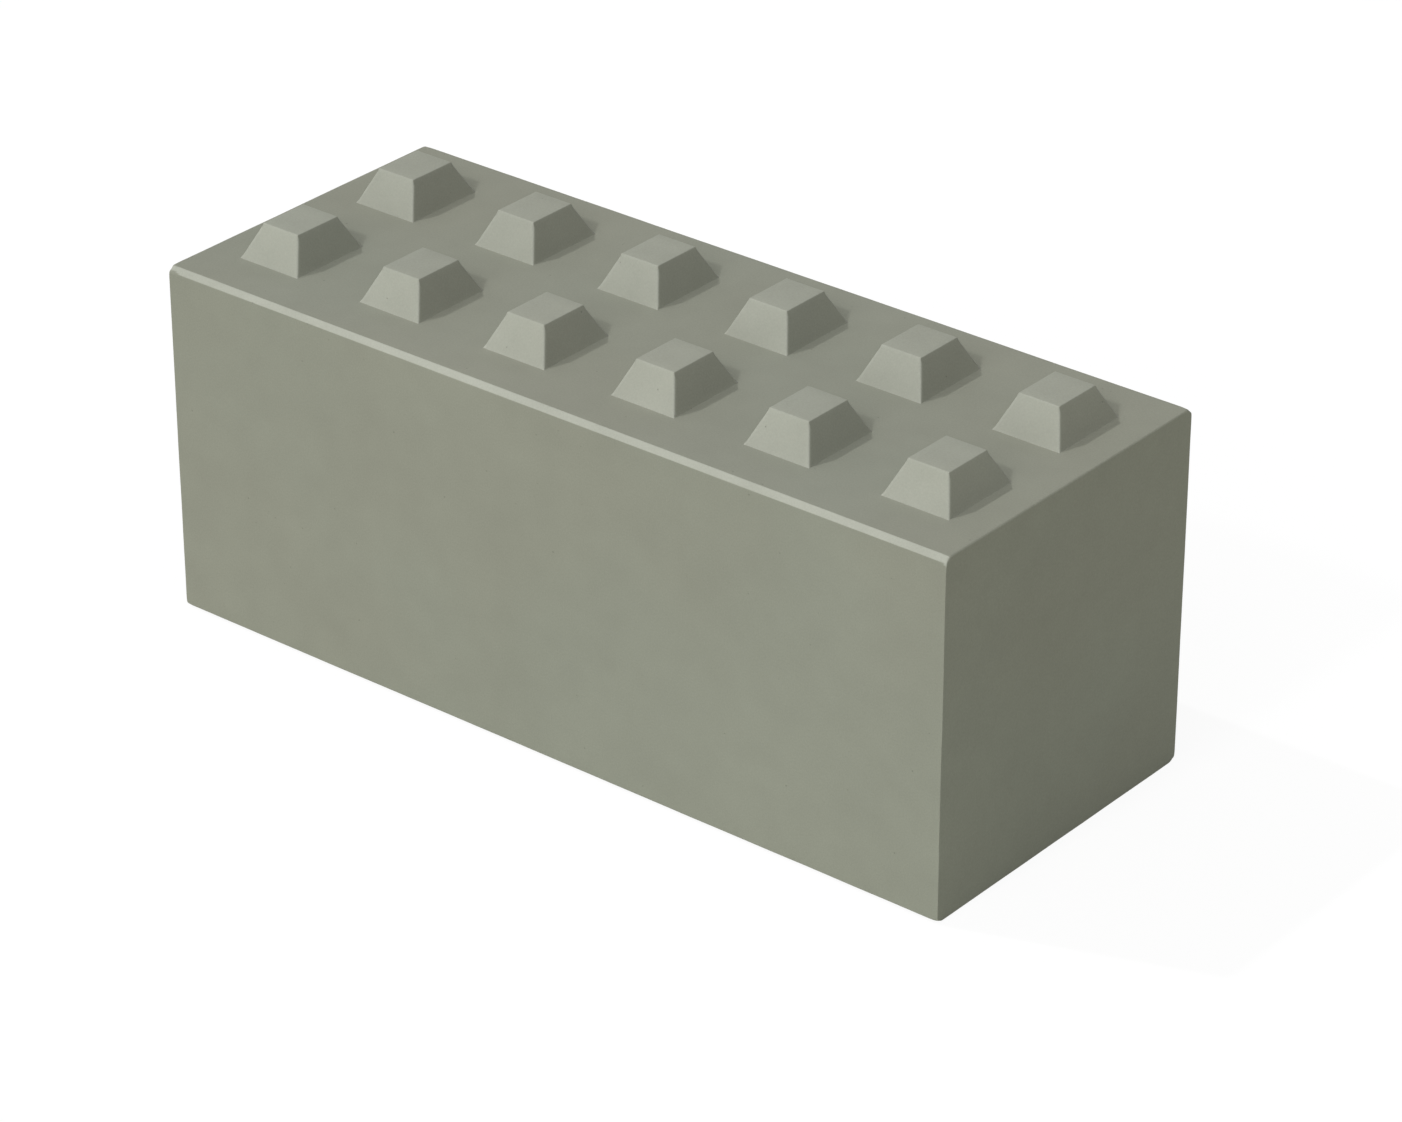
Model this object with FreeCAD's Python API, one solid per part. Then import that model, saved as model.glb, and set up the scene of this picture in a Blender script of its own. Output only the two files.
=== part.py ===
"""Stackable concrete block: one casting with bevelled long edges, tapered studs on top and sockets below.

Millimetres. +Z is up, +X runs along the block and +Y across it.
The origin is the centre of the underside, on the level of the ground that the block stands on.
"""

import FreeCAD, Part
import os

from FreeCAD import Vector

# Block
block_length = 1500.0
block_width = 600.0
block_height = 600.0  # to the seat between the studs
top_bevel = 8.0  # on both long edges of the top
bottom_bevel_width = 12.0  # on both long edges of the underside
bottom_bevel_height = 5.0
end_bevel = 1.5  # on the level edges of both ends
upright_edge_radius = 1.5

# Studs: as many rows each way as fit at their pitch, centred on the top
stud_pitch_along = 250.0
stud_pitch_across = 265.0
stud_base_length = 120.0
stud_base_width = 150.0
stud_top_length = 72.0
stud_top_width = 90.0
stud_height = 56.0
stud_edge_radius = 2.5

# Sockets: each is a steep-sided pocket that takes the stud of the block below
socket_side_clearance = 6.0  # on each side of the stud's foot, at the mouth
socket_depth_clearance = 5.0
socket_draft = 4.0  # how far each side leans in from mouth to ceiling
socket_edge_radius = 3.0


def bevelled_outline(half_width, height, low_cut, high_cut):
    """Points (across, up) of a rectangle on level 0, its corners cut off by a width and a height each."""
    low_width, low_height = low_cut
    high_width, high_height = high_cut
    return [
        (-half_width + low_width, 0.0),
        (half_width - low_width, 0.0),
        (half_width, low_height),
        (half_width, height - high_height),
        (half_width - high_width, height),
        (-half_width + high_width, height),
        (-half_width, height - high_height),
        (-half_width, low_height),
    ]


def prism(points, direction):
    """Solid swept from a closed outline of points."""
    face = Part.Face(Part.makePolygon(points + points[:1]))
    return face.extrude(direction)


def long_section():
    """The block's cross-section, run along its whole length."""
    bottom_cut = (bottom_bevel_width, bottom_bevel_height)
    outline = bevelled_outline(block_width / 2, block_height, bottom_cut, (top_bevel, top_bevel))
    points = [Vector(-block_length / 2, across, up) for across, up in outline]
    return prism(points, Vector(block_length, 0, 0))


def side_section():
    """The block's side outline with its bevelled ends, run across its whole width."""
    end_cut = (end_bevel, end_bevel)
    outline = bevelled_outline(block_length / 2, block_height, end_cut, end_cut)
    points = [Vector(along, -block_width / 2, up) for along, up in outline]
    return prism(points, Vector(0, block_width, 0))


def plan_section():
    """The block's plan with its four rounded corners, run up its whole height."""
    corner = Vector(-block_length / 2, -block_width / 2, 0)
    box = Part.makeBox(block_length, block_width, block_height, corner)
    uprights = [edge for edge in box.Edges if abs(edge.tangentAt(edge.FirstParameter).z) > 0.5]
    return box.makeFillet(upright_edge_radius, uprights)


def body():
    """The plain block, before its studs and sockets."""
    return long_section().common(side_section()).common(plan_section())


def tapered_block(base_length, base_width, top_length, top_width, height, edge_radius):
    """Block on level 0 with four sloping sides, a flat top and rounded edges above its foot."""
    # The wedge is made rising along +Y, with its width along Z, and is then turned upright.
    wedge = Part.makeWedge(
        -base_length / 2, 0.0, -base_width / 2, -top_width / 2, -top_length / 2,
        base_length / 2, height, base_width / 2, top_width / 2, top_length / 2,
    )
    upright = wedge.rotated(Vector(0, 0, 0), Vector(1, 0, 0), 90)
    above_foot = [edge for edge in upright.Edges if edge.BoundBox.ZMax > height / 2]
    return upright.makeFillet(edge_radius, above_foot)


def stud():
    """One stud, standing on level 0."""
    return tapered_block(
        stud_base_length, stud_base_width, stud_top_length, stud_top_width, stud_height, stud_edge_radius
    )


def socket():
    """The space of one socket, from its mouth on level 0 up to its ceiling."""
    mouth_length = stud_base_length + 2 * socket_side_clearance
    mouth_width = stud_base_width + 2 * socket_side_clearance
    return tapered_block(
        mouth_length,
        mouth_width,
        mouth_length - 2 * socket_draft,
        mouth_width - 2 * socket_draft,
        stud_height + socket_depth_clearance,
        socket_edge_radius,
    )


def places(extent, pitch):
    """Centres of the rows that fit in an extent, spread evenly about its middle."""
    count = max(1, int(extent / pitch))
    return [(index - (count - 1) / 2) * pitch for index in range(count)]


def pattern(shape, level):
    """Copies of a shape at every stud's place, raised to a level."""
    copies = []
    for along in places(block_length, stud_pitch_along):
        for across in places(block_width, stud_pitch_across):
            copies.append(shape.translated(Vector(along, across, level)))
    return copies


def concrete_block():
    """The whole casting."""
    with_studs = body().fuse(pattern(stud(), block_height))
    return with_studs.cut(pattern(socket(), 0.0)).removeSplitter()


os.makedirs("parts", exist_ok=True)
concrete_block().exportStep("parts/concrete_block.step")
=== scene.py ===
"""Stackable concrete block: the mould-cast surface of one casting, and the studio that shows it.

Metres. +X runs along the block, +Y across it towards its back and +Z up from the ground.
"""

import logging
import math
from collections.abc import Mapping, Sequence
from dataclasses import dataclass
from enum import Enum
from typing import Any, Optional, Union

import bpy
import numpy as np
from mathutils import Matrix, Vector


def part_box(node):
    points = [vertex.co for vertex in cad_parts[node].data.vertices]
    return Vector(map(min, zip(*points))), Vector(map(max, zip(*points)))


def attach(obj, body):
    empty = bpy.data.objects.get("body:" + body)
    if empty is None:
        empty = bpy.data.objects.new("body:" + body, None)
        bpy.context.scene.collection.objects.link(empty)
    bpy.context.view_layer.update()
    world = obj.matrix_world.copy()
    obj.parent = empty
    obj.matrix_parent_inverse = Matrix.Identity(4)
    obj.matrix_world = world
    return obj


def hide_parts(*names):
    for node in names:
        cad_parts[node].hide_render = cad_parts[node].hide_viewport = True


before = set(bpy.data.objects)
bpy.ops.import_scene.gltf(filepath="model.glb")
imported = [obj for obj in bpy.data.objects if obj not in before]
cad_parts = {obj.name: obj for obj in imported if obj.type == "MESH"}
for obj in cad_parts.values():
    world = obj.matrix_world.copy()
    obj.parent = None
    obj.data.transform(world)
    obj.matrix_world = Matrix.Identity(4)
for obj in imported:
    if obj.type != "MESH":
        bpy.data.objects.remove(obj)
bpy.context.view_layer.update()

log = logging.getLogger("block")

MM = 0.001
NODE = "concrete_block"
BODY = "root"
PALE = "pale"
WHITE = (1.0, 1.0, 1.0, 1.0)

Colour = tuple[float, float, float]
Faces = list[tuple[int, ...]]
Feed = Union["Wire", bpy.types.NodeSocket, float, Sequence[float]]


class Wire:
    """A varying value or colour in a material: one node's output that takes part in arithmetic."""

    def __init__(self, board: "Board", socket: bpy.types.NodeSocket) -> None:
        """Keep the board that the node lies on, and its output.

        Args:
            board: the board that new nodes are placed on.
            socket: the output that carries the value.
        """
        self.board = board
        self.socket = socket

    def __add__(self, other: Feed) -> "Wire":
        """Sum of two values."""
        return self.board.calc("ADD", self, other)

    __radd__ = __add__

    def __sub__(self, other: Feed) -> "Wire":
        """Difference of two values."""
        return self.board.calc("SUBTRACT", self, other)

    def __rsub__(self, other: Feed) -> "Wire":
        """Difference of a plain number and this value."""
        return self.board.calc("SUBTRACT", other, self)

    def __mul__(self, other: Feed) -> "Wire":
        """Product of two values."""
        return self.board.calc("MULTIPLY", self, other)

    __rmul__ = __mul__

    def at_least(self, other: Feed) -> "Wire":
        """The greater of two values."""
        return self.board.calc("MAXIMUM", self, other)

    def rise(self, start: float, end: float) -> "Wire":
        """Smooth step that is 0 where the value is at start and 1 where it is at end.

        Args:
            start: value that gives 0.
            end: value that gives 1.

        Returns:
            The step, between 0 and 1.
        """
        node = self.board.place(
            "ShaderNodeMapRange",
            {"interpolation_type": "SMOOTHSTEP"},
            {"Value": self, "From Min": start, "From Max": end},
        )
        return Wire(self.board, node.outputs["Result"])


@dataclass(frozen=True)
class Lumps:
    """Scale of a noise: how many of its largest lumps lie along a metre, and its number of finer layers."""

    per_metre: float
    detail: float


class Board:
    """The nodes of one material or of the world."""

    def __init__(self, tree: bpy.types.NodeTree) -> None:
        """Empty the tree.

        Args:
            tree: the node tree to fill.
        """
        self.tree = tree
        tree.nodes.clear()

    def place(
        self,
        kind: str,
        settings: Optional[Mapping[str, Any]] = None,
        feeds: Optional[Mapping[Union[str, int], Feed]] = None,
    ) -> bpy.types.Node:
        """Add a node.

        Args:
            kind: the node's type.
            settings: its properties, which are set before its sockets.
            feeds: what goes into its input sockets, by name or number: values or links.

        Returns:
            The new node.
        """
        node = self.tree.nodes.new(kind)
        for name, value in (settings or {}).items():
            setattr(node, name, value)
        for key, value in (feeds or {}).items():
            if isinstance(value, Wire):
                self.tree.links.new(value.socket, node.inputs[key])
            elif isinstance(value, bpy.types.NodeSocket):
                self.tree.links.new(value, node.inputs[key])
            else:
                node.inputs[key].default_value = value
        return node

    def calc(self, operation: str, *values: Feed) -> Wire:
        """Value of one Math node.

        Args:
            operation: the node's operation.
            values: its inputs in order.

        Returns:
            The node's output.
        """
        node = self.place("ShaderNodeMath", {"operation": operation}, dict(enumerate(values)))
        return Wire(self, node.outputs[0])

    def scaled(self, colour: Feed, amount: Feed) -> Wire:
        """A colour made lighter or darker.

        Args:
            colour: the colour.
            amount: what its three channels are multiplied by.

        Returns:
            The product.
        """
        node = self.place("ShaderNodeVectorMath", {"operation": "SCALE"}, {0: colour, "Scale": amount})
        return Wire(self, node.outputs[0])

    def mixed(self, factor: Feed, first: Feed, second: Feed) -> Wire:
        """A colour between two.

        Args:
            factor: 0 for the first colour, 1 for the second.
            first: the colour at 0.
            second: the colour at 1.

        Returns:
            The mixed colour.
        """
        ends = [end if isinstance(end, Wire) else (*end, 1.0) for end in (first, second)]
        node = self.place("ShaderNodeMix", {"data_type": "RGBA"}, {0: factor, 6: ends[0], 7: ends[1]})
        return Wire(self, node.outputs[2])

    def noise(self, where: Wire, lumps: Lumps) -> Wire:
        """Cloudy noise that swings about 0 by up to about 0.5.

        Args:
            where: the coordinates that it is read at.
            lumps: its scale.

        Returns:
            The noise, less its mean.
        """
        feeds = {"Vector": where, "Scale": lumps.per_metre, "Detail": lumps.detail}
        node = self.place("ShaderNodeTexNoise", feeds=feeds)
        return Wire(self, node.outputs["Fac"]) - 0.5


@dataclass(frozen=True)
class Pores:
    """Small round air pores: one in each cell of the concrete, and in most cells no more than a speck."""

    cells_per_metre: float = 70.0
    speck_share: float = 0.80  # of the cells, whose pore is only a speck
    widest: float = 0.085  # radius of the largest pore, in cells
    rim: tuple[float, float] = (-0.02, 0.03)  # from inside to outside a pore's edge, in cells
    # painted shade: the colour is darkened inside a pore, where shade falls in the hollow
    painted_shade: float = 0.22
    depth: float = 0.45 * MM

    def mask(self, board: Board, where: Wire) -> Wire:
        """Where the pores are.

        Args:
            board: the material's board.
            where: the coordinates on the block.

        Returns:
            1 in a pore and 0 outside it.
        """
        feeds = {"Vector": where, "Scale": self.cells_per_metre, "Randomness": 1.0}
        cells = board.place("ShaderNodeTexVoronoi", {"feature": "F1"}, feeds)
        lot = board.place("ShaderNodeSeparateColor", feeds={0: cells.outputs["Color"]})
        radius = Wire(board, lot.outputs[0]).rise(self.speck_share, 1.0) * self.widest
        outside = Wire(board, cells.outputs["Distance"]) - radius
        return 1.0 - outside.rise(*self.rim)


@dataclass(frozen=True)
class ConcreteFinish:
    """Grey-green mould-cast concrete: matt, softly clouded, with fine grain, air pores and painted
    highlights.
    """

    name: str = "cast_concrete"
    warm: Colour = (0.2865, 0.2925, 0.2390)
    cool: Colour = (0.2800, 0.2915, 0.2400)
    # The pale colour is painted light: a painted highlight on the stud crowns, the front and back stud
    # flanks and the top bevels; on the arrises it is partly wear, partly a painted highlight.
    pale: Colour = (0.4200, 0.4320, 0.3720)
    # Shares of the pale colour: the front and back stud flanks get more painted light than the end flanks,
    # which stand in shade.
    flank_highlight_share: float = 0.66
    end_flank_highlight_share: float = 0.05
    crown_highlight_share: float = 0.42
    bevel_highlight_share: float = 0.96
    # arrises: partly wear, partly a painted highlight
    arris_wear_and_highlight_share: float = 0.50
    tints: Lumps = Lumps(1.7, 2.0)
    tint_edge: float = 0.15
    clouds: Lumps = Lumps(3.2, 3.0)
    cloud_swing: float = 0.14
    patches: Lumps = Lumps(16.0, 2.0)
    patch_swing: float = 0.45
    mottle: Lumps = Lumps(19.0, 4.0)
    mottle_swing: float = 0.12
    mottle_roughness: float = 0.12
    mottle_relief: float = 0.10 * MM
    grain: Lumps = Lumps(370.0, 2.0)
    grain_swing: float = 0.22
    grain_roughness: float = 0.10
    grain_relief: float = 0.12 * MM
    pores: Pores = Pores()
    roughness: float = 0.88
    specular: float = 0.25

    def material(self) -> bpy.types.Material:
        """Make the material.

        Returns:
            The concrete material.
        """
        made = bpy.data.materials.new(self.name)
        made.use_nodes = True
        board = Board(made.node_tree)
        where = Wire(board, board.place("ShaderNodeTexCoord").outputs["Object"])
        clouds = board.noise(where, self.clouds)
        mottle = board.noise(where, self.mottle)
        grain = board.noise(where, self.grain)
        pores = self.pores.mask(board, where)
        tone = 1.0 + clouds * self.cloud_swing + mottle * self.mottle_swing + grain * self.grain_swing
        # The pores are darkened as painted shade in their hollows.
        tone = tone - pores * self.pores.painted_shade
        tint_side = board.noise(where, self.tints).rise(-self.tint_edge, self.tint_edge)
        tint = board.mixed(tint_side, self.warm, self.cool)
        # The pale colour mixed in here is painted light: highlights on the studs and bevels, and on the
        # arrises partly wear.
        colour = board.mixed(self.paler(board, where), tint, self.pale)
        height = mottle * self.mottle_relief + grain * self.grain_relief - pores * self.pores.depth
        bump = board.place("ShaderNodeBump", feeds={"Height": height, "Distance": 1.0, "Strength": 1.0})
        surface = board.place(
            "ShaderNodeBsdfPrincipled",
            feeds={
                "Base Color": board.scaled(colour, tone),
                "Roughness": self.roughness + mottle * self.mottle_roughness + grain * self.grain_roughness,
                "Normal": bump.outputs[0],
                "Specular IOR Level": self.specular,
            },
        )
        board.place("ShaderNodeOutputMaterial", feeds={"Surface": surface.outputs[0]})
        return made

    def paler(self, board: Board, where: Wire) -> Wire:
        """How near to the pale colour the studs, the top bevels and the arrises come: painted light, on the
        arrises partly wear.

        Args:
            board: the material's board.
            where: the coordinates on the block.

        Returns:
            The share of the pale colour, 0 on the plain faces.
        """
        share = Wire(board, board.place("ShaderNodeAttribute", {"attribute_name": PALE}).outputs["Fac"])
        return share * (1.0 + board.noise(where, self.patches) * self.patch_swing)


@dataclass(frozen=True)
class FloorFinish:
    """White studio paper that keeps a faint shadow."""

    name: str = "studio_paper"
    albedo: Colour = (0.61, 0.62, 0.54)
    glow: float = 0.92
    shadow: float = 0.10

    def material(self) -> bpy.types.Material:
        """Make the material.

        Returns:
            The floor's material.
        """
        made = bpy.data.materials.new(self.name)
        made.use_nodes = True
        board = Board(made.node_tree)
        lit = board.place("ShaderNodeBsdfDiffuse", feeds={"Color": (*self.albedo, 1.0)})
        shaded = board.place("ShaderNodeBsdfDiffuse", feeds={"Color": (self.shadow,) * 3 + (1.0,)})
        glow = board.place("ShaderNodeEmission", feeds={"Color": WHITE, "Strength": self.glow})
        seen = board.place("ShaderNodeAddShader", feeds={0: shaded.outputs[0], 1: glow.outputs[0]})
        feeds = {0: looked_at(board), 1: lit.outputs[0], 2: seen.outputs[0]}
        paper = board.place("ShaderNodeMixShader", feeds=feeds)
        board.place("ShaderNodeOutputMaterial", feeds={"Surface": paper.outputs[0]})
        return made


def looked_at(board: Board) -> Wire:
    """Whether a ray comes from the camera, a reflection or clear glass, which all see the white background.

    Args:
        board: the board to place the node on.

    Returns:
        1 for such a ray and 0 for any other.
    """
    path = board.place("ShaderNodeLightPath")
    seen = Wire(board, path.outputs["Is Camera Ray"])
    seen = seen.at_least(Wire(board, path.outputs["Is Glossy Ray"]))
    return seen.at_least(Wire(board, path.outputs["Is Transmission Ray"]))


class Level(Enum):
    """The two level surfaces of the casting that carry relief."""

    TOP = "top"
    UNDERSIDE = "underside"


class Rim(Enum):
    """Which rim of a tapered form stands out from the concrete, and so takes wear and a painted highlight.
    """

    CROWN = "crown"
    FOOT = "foot"


class End(Enum):
    """The two ends of the block, each by the sign of its side of the middle."""

    RIGHT = 1
    LEFT = -1


@dataclass(frozen=True)
class Bevel:
    """A flat cut along an arris: how wide it is on the level face, and how high on the side."""

    width: float
    height: float

    def fall(self, inwards: np.ndarray) -> np.ndarray:
        """How far the cut takes the level face down.

        Args:
            inwards: how far each point lies in from the side.

        Returns:
            The fall, 0 past the cut.
        """
        return np.maximum(1 - inwards / self.width, 0.0) * self.height


@dataclass(frozen=True)
class HighlightEnd:
    """A small spot at one end of the front top bevel, with its own share of the painted highlight."""

    end: End
    reach: tuple[float, float, float]
    share: float

    def mark(self, from_centre: np.ndarray, pale: np.ndarray) -> np.ndarray:
        """Set the tone of the points in the spot.

        Args:
            from_centre: points on the block, one row each, as seen from the spot's centre.
            pale: the share of the pale colour at each.

        Returns:
            The new shares.
        """
        inside = np.linalg.norm(from_centre / self.reach, axis=1) < 1
        return np.where(inside, self.share, pale)


@dataclass(frozen=True)
class Frustum:
    """A four-sided tapered form with rounded rims: a stud, or the socket that takes a stud from below."""

    foot: tuple[float, float]
    crown: tuple[float, float]
    rise: float
    foot_radius: float
    crown_radius: float
    # the rim whose arris takes the pale colour: partly wear, partly a painted highlight
    worn_and_highlit: Rim
    flank_steps: int = 8
    round_steps: int = 3
    arris_reach: float = 1.2
    rim_wear_and_highlight: float = 0.5

    @property
    def last_step(self) -> int:
        """Number of the step at which the flat of the crown begins."""
        return self.flank_steps + 2 * self.round_steps

    def section(self, axis: int) -> tuple[np.ndarray, np.ndarray]:
        """Half of the form's section on one axis, from the level outside its foot to the flat at its crown.

        Args:
            axis: 0 along the block, 1 across it.

        Returns:
            Distances inwards from the foot's line, and heights.
        """
        run = (self.foot[axis] - self.crown[axis]) / 2
        lean = math.atan2(self.rise, run)
        turn = np.linspace(0, lean, self.round_steps + 1)
        low_in = self.foot_radius * (np.sin(turn) - math.tan(lean / 2))
        low_up = self.foot_radius * (1 - np.cos(turn))
        high_in = run - self.crown_radius * (np.sin(turn) - math.tan(lean / 2))[::-1]
        high_up = self.rise - self.crown_radius * (1 - np.cos(turn))[::-1]
        share = np.linspace(0, 1, self.flank_steps + 1)[1:-1]
        flank_in = low_in[-1] + (high_in[0] - low_in[-1]) * share
        flank_up = low_up[-1] + (high_up[0] - low_up[-1]) * share
        return np.concatenate([low_in, flank_in, high_in]), np.concatenate([low_up, flank_up, high_up])

    def height(self, step_along: np.ndarray, step_across: np.ndarray) -> tuple[np.ndarray, np.ndarray]:
        """Height of the form where two mesh lines cross.

        Args:
            step_along: how many steps up the section the line on the first axis lies.
            step_across: the same for the line on the second axis.

        Returns:
            The heights over the foot, and how near each crossing is to an arris that takes wear and a
            painted highlight, from 0 to 1.
        """
        step = np.minimum(step_along, step_across)
        near = np.clip(1 - np.abs(step_along - step_across) / self.arris_reach, 0, 1)
        upright = near * ((step > 0) & (step < self.last_step))
        # Where the two steps are alike, their minimum is blended smoothly, which rounds the upright arris.
        step = step - upright**2 * self.arris_reach / 4
        heights = (self.section(0)[1] + self.section(1)[1]) / 2
        height = np.interp(step, np.arange(self.last_step + 1), heights)
        if self.worn_and_highlit is Rim.CROWN:
            middle = self.last_step - self.round_steps / 2
        else:
            middle, upright = self.round_steps / 2, np.zeros_like(upright)
        rim = np.clip(1 - np.abs(step - middle) / (self.round_steps / 2), 0, 1)
        return height, np.maximum(rim * self.rim_wear_and_highlight, upright)


@dataclass(frozen=True)
class Ripple:
    """Slow unevenness of a casting from a steel mould: a seeded sum of waves in all directions."""

    seed: int = 11
    waves: int = 14
    shortest: float = 0.10
    longest: float = 0.55
    crest: float = 1.6  # where the sum is cut off, in square roots of the number of waves

    def at(self, points: np.ndarray) -> np.ndarray:
        """Unevenness at points on the block.

        Args:
            points: their coordinates, one row each.

        Returns:
            Values between -1 and 1.
        """
        draw = np.random.default_rng(self.seed)
        total = np.zeros(len(points))
        for _ in range(self.waves):
            heading = draw.normal(size=3)
            heading /= np.linalg.norm(heading)
            length = draw.uniform(self.shortest, self.longest)
            total += np.sin(points @ heading * 2 * math.pi / length + draw.uniform(0, 2 * math.pi))
        return np.clip(total / (self.crest * math.sqrt(self.waves)), -1.0, 1.0)


@dataclass(frozen=True)
class Wear:
    """Rounding of the body's arrises: uneven along them, and wider at its corners, above more than below."""

    radius: float = 0.9 * MM
    swing: float = 0.35
    upper_corner_radius: float = 4.2 * MM
    lower_corner_radius: float = 3.0 * MM
    corner_reach: float = 8.5 * MM
    spread: float = 0.42  # of the soft minimum over the faces, in radii
    ripple: Ripple = Ripple(seed=23, waves=18, shortest=0.03, longest=0.18)

    def round(
        self, points: np.ndarray, normals: np.ndarray, reaches: np.ndarray
    ) -> tuple[np.ndarray, np.ndarray]:
        """Round off a convex body.

        Args:
            points: points on the body, one row each.
            normals: outward normals of the body's flat faces. The top, the underside and the four sides come
                first, in pairs.
            reaches: how far each of those faces lies from the origin along its normal.

        Returns:
            The points after rounding, none of them further out, and how near each was to an arris, from 0
            to 1, less where the arris is level.
        """
        depth = reaches - points @ normals.T
        from_corner = depth[:, :6].reshape(-1, 3, 2).min(axis=2).max(axis=1)
        upper = depth[:, 0] < depth[:, 1]
        radius = self.radius * (1 + self.swing * self.ripple.at(points))
        corner_radius = np.where(upper, self.upper_corner_radius, self.lower_corner_radius)
        radius += corner_radius * np.exp(-((from_corner / self.corner_reach) ** 2))
        spread = self.spread * radius[:, None]
        nearest = depth.min(axis=1, keepdims=True)
        weight = np.exp((nearest - depth) / spread)
        total = weight.sum(axis=1, keepdims=True)
        heading = weight @ normals / total
        pull = spread * np.log(total)
        moved = points - pull * heading / (heading**2).sum(axis=1, keepdims=True)
        # This share feeds the pale colour, partly wear and partly a painted highlight, and is cut where the
        # arris is level.
        upright = 1 - np.abs(heading[:, 2]) / np.linalg.norm(heading, axis=1)
        # Where two faces are equally near, the total is 2.
        worn_and_highlit = np.clip(np.log(total[:, 0]) / math.log(2), 0, 1) * upright
        return moved, worn_and_highlit


@dataclass(frozen=True)
class Spacing:
    """Where the casting's mesh lines lie: close together over arrises and wide apart on plain faces."""

    over_bevel: tuple[float, ...] = (0.0, 0.08, 0.2, 0.4, 0.6, 0.8, 0.92, 1.0)  # in widths of the bevel
    past_bevel_mm: tuple[float, ...] = (0.8, 2.0, 4.0, 7.0, 11.0, 16.0, 22.0)
    up_wall_mm: tuple[float, ...] = (0.0, 0.8, 1.8, 3.0, 5.0, 8.0, 12.0)  # from the top and the underside
    plain_wall: tuple[float, float] = (0.03, 0.97)  # the even lines' first and last, in heights of the wall
    plain_wall_lines: int = 16
    cap_steps: int = 4
    gap_steps: int = 6
    margin_steps: int = 4


@dataclass
class Lines:
    """Mesh lines on one axis, and how many steps up the section of a stud or socket each one lies."""

    place: np.ndarray
    step: np.ndarray


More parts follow.
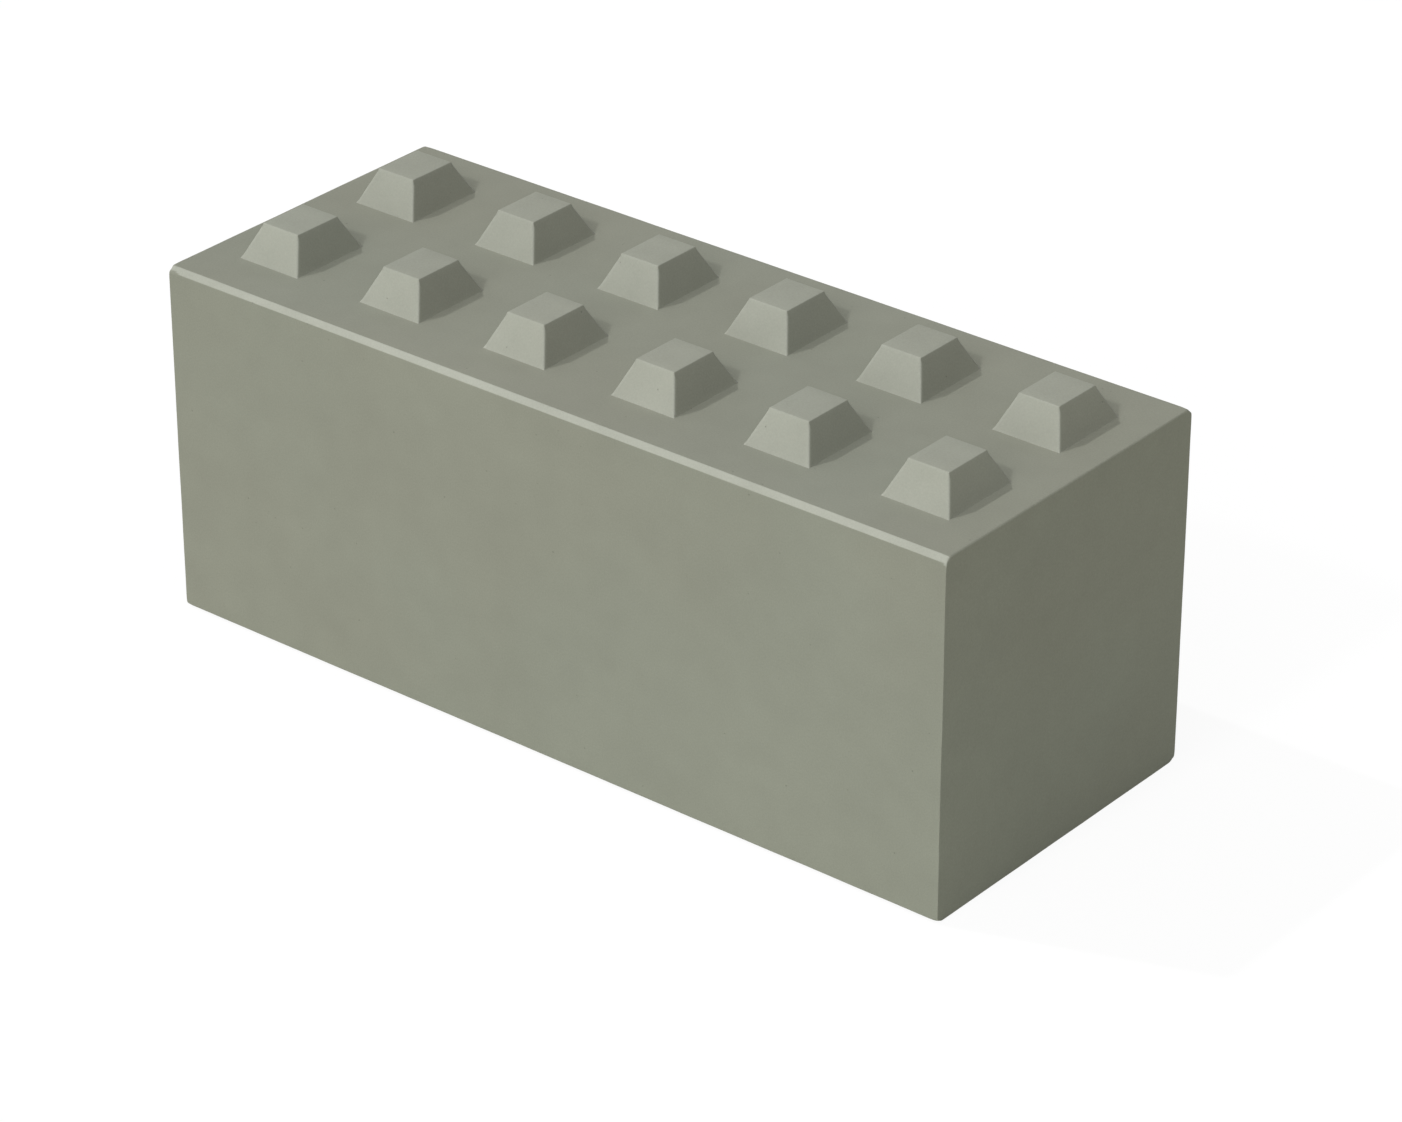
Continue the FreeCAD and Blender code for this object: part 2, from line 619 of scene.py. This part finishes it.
@dataclass
class Casting:
    """The whole block as one closed surface: its bevelled body, its studs on top and its sockets below."""

    low: Sequence[float]
    high: Sequence[float]
    finish: ConcreteFinish
    rows: tuple[int, int] = (6, 2)
    pitch: tuple[float, float] = (0.250, 0.265)
    stud: Frustum = Frustum((0.120, 0.150), (0.072, 0.090), 0.056, 0.8 * MM, 2.5 * MM, Rim.CROWN)
    socket: Frustum = Frustum((0.132, 0.162), (0.124, 0.154), 0.061, 2.0 * MM, 3.0 * MM, Rim.FOOT)
    end_bevel: Bevel = Bevel(1.5 * MM, 1.5 * MM)
    top_bevel: Bevel = Bevel(8.0 * MM, 8.0 * MM)
    bottom_bevel: Bevel = Bevel(12.0 * MM, 5.0 * MM)
    # At the near end the bevel's painted highlight runs onto the tip; at the far end it is taken off.
    highlight_ends: tuple[HighlightEnd, ...] = (
        HighlightEnd(End.RIGHT, (5.5 * MM, 3.0 * MM, 5.0 * MM), 0.96),
        HighlightEnd(End.LEFT, (20.0 * MM, 4.0 * MM, 3.2 * MM), 0.0),
    )
    unevenness: float = 0.35 * MM
    ripple: Ripple = Ripple()
    wear: Wear = Wear()
    spacing: Spacing = Spacing()
    bevel_slack: float = 0.1 * MM  # a line this near a bevel still takes its tone
    bend_slack: float = 0.02 * MM  # a cell bent by less than this stays in one piece

    @property
    def half(self) -> tuple[float, float]:
        """Half the length and half the width of the body."""
        return (self.high[0] - self.low[0]) / 2, (self.high[1] - self.low[1]) / 2

    @property
    def seat(self) -> float:
        """Level of the top between the studs."""
        return self.high[2] - self.stud.rise

    def form(self, level: Level) -> Frustum:
        """The stud or the socket."""
        return self.stud if level is Level.TOP else self.socket

    def bevels(self, level: Level) -> tuple[Bevel, Bevel]:
        """The cuts along a level's arrises, at the ends and on the long sides."""
        return self.end_bevel, self.top_bevel if level is Level.TOP else self.bottom_bevel

    def lines(self, axis: int, level: Level) -> Lines:
        """Mesh lines on one axis.

        Args:
            axis: 0 along the block, 1 across it.
            level: the surface that the lines lie on.

        Returns:
            The lines. Their number is the same on both levels.
        """
        form, cut, spacing = self.form(level), self.bevels(level)[axis], self.spacing
        inwards = form.section(axis)[0]
        up = np.arange(len(inwards), dtype=float)
        side = inwards - form.foot[axis] / 2
        cap = np.linspace(side[-1], -side[-1], spacing.cap_steps + 1)[1:-1]
        over_form = np.concatenate([side, cap, -side[::-1]])
        form_step = np.concatenate([up, np.full(len(cap), up[-1]), up[::-1]])
        over_bevel = np.array(spacing.over_bevel) * cut.width
        edge = np.concatenate([over_bevel, cut.width + np.array(spacing.past_bevel_mm) * MM])
        place, step = [edge - self.half[axis]], [np.zeros(len(edge))]
        for row in range(self.rows[axis]):
            centre = (row - (self.rows[axis] - 1) / 2) * self.pitch[axis]
            steps = spacing.gap_steps if row else spacing.margin_steps
            gap = np.linspace(place[-1][-1], centre + over_form[0], steps + 1)[1:-1]
            place += [gap, centre + over_form]
            step += [np.zeros(len(gap)), form_step]
        margin = np.linspace(place[-1][-1], self.half[axis] - edge[-1], spacing.margin_steps + 1)[1:-1]
        place += [margin, self.half[axis] - edge[::-1]]
        step += [np.zeros(len(margin) + len(edge))]
        return Lines(np.concatenate(place), np.concatenate(step))

    def wall_lines(self) -> np.ndarray:
        """Heights of the level mesh lines on the sides, in shares of the way from the ground to the seat."""
        near = np.array(self.spacing.up_wall_mm) * MM / self.seat
        plain = np.linspace(*self.spacing.plain_wall, self.spacing.plain_wall_lines)
        return np.concatenate([near, plain, 1 - near[::-1]])

    def relief(self, level: Level, along: Lines, across: Lines) -> tuple[np.ndarray, np.ndarray]:
        """Level of the top or of the underside where lines cross.

        Args:
            level: which of the two.
            along: lines on the first axis, in a shape that spreads over the second's.
            across: lines on the second axis.

        Returns:
            The heights over the ground, and the share of the pale colour there.
        """
        form, (ends, sides) = self.form(level), self.bevels(level)
        raised, worn_and_highlit = form.height(along.step, across.step)
        from_side = self.half[1] - np.abs(across.place)
        fall = np.maximum(ends.fall(self.half[0] - np.abs(along.place)), sides.fall(from_side))
        if level is Level.UNDERSIDE:
            return self.low[2] + raised + fall, worn_and_highlit * self.finish.arris_wear_and_highlight_share
        finish, step = self.finish, np.minimum(along.step, across.step)
        on_crown = step > form.last_step - form.round_steps / 2
        on_flank = (step > form.round_steps / 2) & ~on_crown
        on_end_flank = on_flank & (along.step < across.step)
        on_bevel = from_side < sides.width + self.bevel_slack
        # Crowns, front and back flanks and the top bevel take painted light in the pale colour; the end
        # flanks, in shade, take almost none.
        masks = [on_crown, on_end_flank, on_flank, on_bevel]
        shares = [finish.crown_highlight_share, finish.end_flank_highlight_share, finish.flank_highlight_share, finish.bevel_highlight_share]
        return self.seat + raised - fall, np.select(masks, shares, 0.0) + worn_and_highlit * finish.arris_wear_and_highlight_share

    def faces_of_body(self) -> tuple[np.ndarray, np.ndarray]:
        """The flat faces of the body without its studs and sockets.

        Returns:
            Outward normals and each face's distance from the origin. The top, the underside and the four
            sides come first, in pairs.
        """
        top, underside = self.seat, -self.low[2]
        normals = [(0, 0, 1), (0, 0, -1), (1, 0, 0), (-1, 0, 0), (0, 1, 0), (0, -1, 0)]
        reaches = [top, underside, self.half[0], self.half[0], self.half[1], self.half[1]]
        for level, tip, reach in ((Level.TOP, 1, top), (Level.UNDERSIDE, -1, underside)):
            for axis, cut in enumerate(self.bevels(level)):
                for sign in (-1, 1):
                    outward = (sign * cut.height, 0.0) if axis == 0 else (0.0, sign * cut.height)
                    normals.append((*outward, tip * cut.width))
                    reaches.append(cut.height * self.half[axis] + cut.width * (reach - cut.height))
        lengths = np.linalg.norm(normals, axis=1)
        return np.array(normals) / lengths[:, None], np.array(reaches) / lengths

    def build(self) -> bpy.types.Object:
        """Make the mesh, with its unevenness and its pale shares.

        Returns:
            The casting's object.
        """
        top = [self.lines(axis, Level.TOP) for axis in (0, 1)]
        under = [self.lines(axis, Level.UNDERSIDE) for axis in (0, 1)]
        up = self.wall_lines()
        counts = (len(top[0].place), len(top[1].place), len(up))
        inner = np.zeros(counts, bool)
        inner[1:-1, 1:-1, 1:-1] = True
        column, row, layer = np.nonzero(~inner)
        number = np.full(counts, -1)
        number[column, row, layer] = np.arange(len(column))
        high, high_pale = self.crossings(Level.TOP, top, column, row)
        low, low_pale = self.crossings(Level.UNDERSIDE, under, column, row)
        points = low + (high - low) * up[layer][:, None]
        pale = np.where(layer == counts[2] - 1, high_pale, np.where(layer == 0, low_pale, 0.0))
        on_body = points[:, 2] <= self.seat
        points[on_body], worn_and_highlit = self.wear.round(points[on_body], *self.faces_of_body())
        # Paler arrises: partly wear, partly a painted highlight, less on level arrises.
        pale[on_body] += worn_and_highlit * self.finish.arris_wear_and_highlight_share
        faces = self.level_faces(number[:, :, -1], top, Level.TOP)
        faces += self.level_faces(number[:, :, 0], under, Level.UNDERSIDE)
        faces += quads(number[:, 0, :], False) + quads(number[:, -1, :], True)
        faces += quads(number[0, :, :], True) + quads(number[-1, :, :], False)
        return self.meshed(points, faces, self.with_highlight_ends(points, pale))

    def crossings(
        self, level: Level, lines: list[Lines], column: np.ndarray, row: np.ndarray
    ) -> tuple[np.ndarray, np.ndarray]:
        """Points on the top or the underside.

        Args:
            level: which of the two.
            lines: the lines on both axes.
            column: number of each point's line on the first axis.
            row: number of each point's line on the second axis.

        Returns:
            The points, one row each, and the share of the pale colour at each.
        """
        along = Lines(lines[0].place[column], lines[0].step[column])
        across = Lines(lines[1].place[row], lines[1].step[row])
        height, pale = self.relief(level, along, across)
        return np.stack([along.place, across.place, height], axis=1), pale

    def with_highlight_ends(self, points: np.ndarray, pale: np.ndarray) -> np.ndarray:
        """Set the share of the painted highlight in the spots at the ends of the front top bevel.

        Args:
            points: the surface's points, one row each.
            pale: the share of the pale colour at each.

        Returns:
            The new shares.
        """
        for highlight_end in self.highlight_ends:
            centre = (highlight_end.end.value * self.half[0], -self.half[1], self.seat - self.top_bevel.height)
            pale = highlight_end.mark(points - centre, pale)
        return pale

    def level_faces(self, number: np.ndarray, lines: list[Lines], level: Level) -> Faces:
        """Faces of the top or the underside, with each bent cell split along its arris.

        Args:
            number: the point number at each crossing of the lines.
            lines: the lines on both axes.
            level: which of the two surfaces.

        Returns:
            Quads and triangles that face outwards.
        """
        along = Lines(lines[0].place[:, None], lines[0].step[:, None])
        across = Lines(lines[1].place[None, :], lines[1].step[None, :])
        height = self.relief(level, along, across)[0]
        forward = np.abs(height[:-1, :-1] - height[1:, 1:])
        backward = np.abs(height[1:, :-1] - height[:-1, 1:])
        twist = np.abs(height[:-1, :-1] + height[1:, 1:] - height[1:, :-1] - height[:-1, 1:])
        faces: Faces = []
        for column in range(height.shape[0] - 1):
            for row in range(height.shape[1] - 1):
                a, b = number[column, row], number[column + 1, row]
                c, d = number[column + 1, row + 1], number[column, row + 1]
                if twist[column, row] < self.bend_slack:
                    cell = [(a, b, c, d)]
                elif forward[column, row] > backward[column, row]:
                    cell = [(a, b, c), (a, c, d)]
                else:
                    cell = [(b, c, d), (b, d, a)]
                faces += cell if level is Level.TOP else [face[::-1] for face in cell]
        return faces

    def meshed(self, points: np.ndarray, faces: Faces, pale: np.ndarray) -> bpy.types.Object:
        """Turn the points and faces into the block's object.

        Args:
            points: the surface's points.
            faces: point numbers of each face.
            pale: the share of the pale colour at each point.

        Returns:
            The object, smooth and in its finish.
        """
        mesh = bpy.data.meshes.new("casting")
        mesh.from_pydata(points.tolist(), [], [[int(corner) for corner in face] for face in faces])
        mesh.update()
        normals = np.empty(len(points) * 3)
        mesh.vertices.foreach_get("normal", normals)
        inwards = self.unevenness * (0.5 + 0.5 * self.ripple.at(points))
        moved = points - normals.reshape(-1, 3) * inwards[:, None]
        moved[:, 2] = np.maximum(moved[:, 2], self.low[2])
        mesh.vertices.foreach_set("co", moved.ravel())
        mesh.attributes.new(PALE, "FLOAT", "POINT").data.foreach_set("value", np.minimum(pale, 1.0))
        mesh.polygons.foreach_set("use_smooth", [True] * len(mesh.polygons))
        mesh.materials.append(self.finish.material())
        mesh.update()
        made = bpy.data.objects.new("casting", mesh)
        bpy.context.scene.collection.objects.link(made)
        return made

    def dress(self) -> bpy.types.Object:
        """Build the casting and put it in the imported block's place.

        Returns:
            The casting's object.
        """
        made = self.build()
        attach(made, BODY)
        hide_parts(NODE)
        return made


def quads(number: np.ndarray, flipped: bool) -> Faces:
    """Four-sided faces over a grid of points.

    Args:
        number: the point number at each crossing.
        flipped: whether the faces look the other way.

    Returns:
        The faces.
    """
    corners = np.stack([number[:-1, :-1], number[1:, :-1], number[1:, 1:], number[:-1, 1:]], axis=-1)
    if flipped:
        corners = corners[..., ::-1]
    return [tuple(face) for face in corners.reshape(-1, 4).tolist()]


@dataclass(frozen=True)
class Lamp:
    """A distant lamp: its irradiance, its width in degrees and where it stands as seen from the block."""

    name: str
    strength: float
    width: float
    stands_at: tuple[float, float, float]

    def hang(self) -> bpy.types.Object:
        """Hang the lamp.

        Returns:
            The lamp's object.
        """
        light = bpy.data.lights.new(self.name, "SUN")
        light.energy = self.strength
        light.angle = math.radians(self.width)
        made = bpy.data.objects.new(self.name, light)
        # A sun shines down its own -Z, so its +Z is turned towards the place where the lamp stands.
        x, y, z = self.stands_at
        made.rotation_euler = (math.atan2(math.hypot(x, y), z), 0.0, math.atan2(x, -y))
        bpy.context.scene.collection.objects.link(made)
        return made


@dataclass
class Studio:
    """Plain pale floor, even fill, the camera, and soft lamps: two from above and a wide one in front."""

    floor_finish: FloorFinish
    floor_half: float = 60.0
    fill: float = 0.38
    lamps: tuple[Lamp, ...] = (
        Lamp("left", 0.893, 1.2, (-0.68, -0.25, 1.0)),
        Lamp("front", 0.692, 4.0, (-0.05, -1.15, 1.0)),
        Lamp("wide", 1.02, 60.0, (0.18, -1.00, 0.47)),
    )
    camera_at: tuple[float, float, float] = (4.485, -5.419, 4.032)
    camera_turn: float = 39.19
    camera_tilt: float = 28.5
    lens: float = 133.5
    sensor: float = 36.0

    def lay_floor(self) -> bpy.types.Object:
        """Make the floor.

        Returns:
            The floor's object.
        """
        half = self.floor_half
        corners = [(-half, -half, 0), (half, -half, 0), (half, half, 0), (-half, half, 0)]
        mesh = bpy.data.meshes.new("floor")
        mesh.from_pydata(corners, [], [(0, 1, 2, 3)])
        mesh.materials.append(self.floor_finish.material())
        floor = bpy.data.objects.new("floor", mesh)
        bpy.context.scene.collection.objects.link(floor)
        return floor

    def light_world(self) -> None:
        """Light the scene evenly, and show it a white background."""
        world = bpy.data.worlds.new("studio")
        world.use_nodes = True
        board = Board(world.node_tree)
        fill = board.place("ShaderNodeBackground", feeds={"Color": WHITE, "Strength": self.fill})
        white = board.place("ShaderNodeBackground", feeds={"Color": WHITE, "Strength": 1.0})
        feeds = {0: looked_at(board), 1: fill.outputs[0], 2: white.outputs[0]}
        both = board.place("ShaderNodeMixShader", feeds=feeds)
        board.place("ShaderNodeOutputWorld", feeds={"Surface": both.outputs[0]})
        bpy.context.scene.world = world

    def set_camera(self) -> bpy.types.Object:
        """Stand the camera where the block is seen from above its near right corner.

        Returns:
            The camera's object.
        """
        data = bpy.data.cameras.new("camera")
        data.lens = self.lens
        data.sensor_width = self.sensor
        camera = bpy.data.objects.new("camera", data)
        camera.location = self.camera_at
        camera.rotation_euler = (math.radians(90.0 - self.camera_tilt), 0.0, math.radians(self.camera_turn))
        bpy.context.scene.collection.objects.link(camera)
        bpy.context.scene.camera = camera
        return camera

    def build(self) -> None:
        """Make the whole studio."""
        bpy.context.scene.view_settings.view_transform = "Standard"
        for made in (self.set_camera(), self.lay_floor(), *(lamp.hang() for lamp in self.lamps)):
            log.info("studio: %s", made.name)
        self.light_world()


def main() -> None:
    """Build the studio and the casting."""
    logging.basicConfig(level=logging.INFO, format="%(name)s: %(message)s")
    Studio(FloorFinish()).build()
    low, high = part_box(NODE)
    casting = Casting(low, high, ConcreteFinish()).dress()
    mesh = casting.data
    log.info("%s: %d points, %d faces", casting.name, len(mesh.vertices), len(mesh.polygons))


if __name__ == "__main__":
    main()
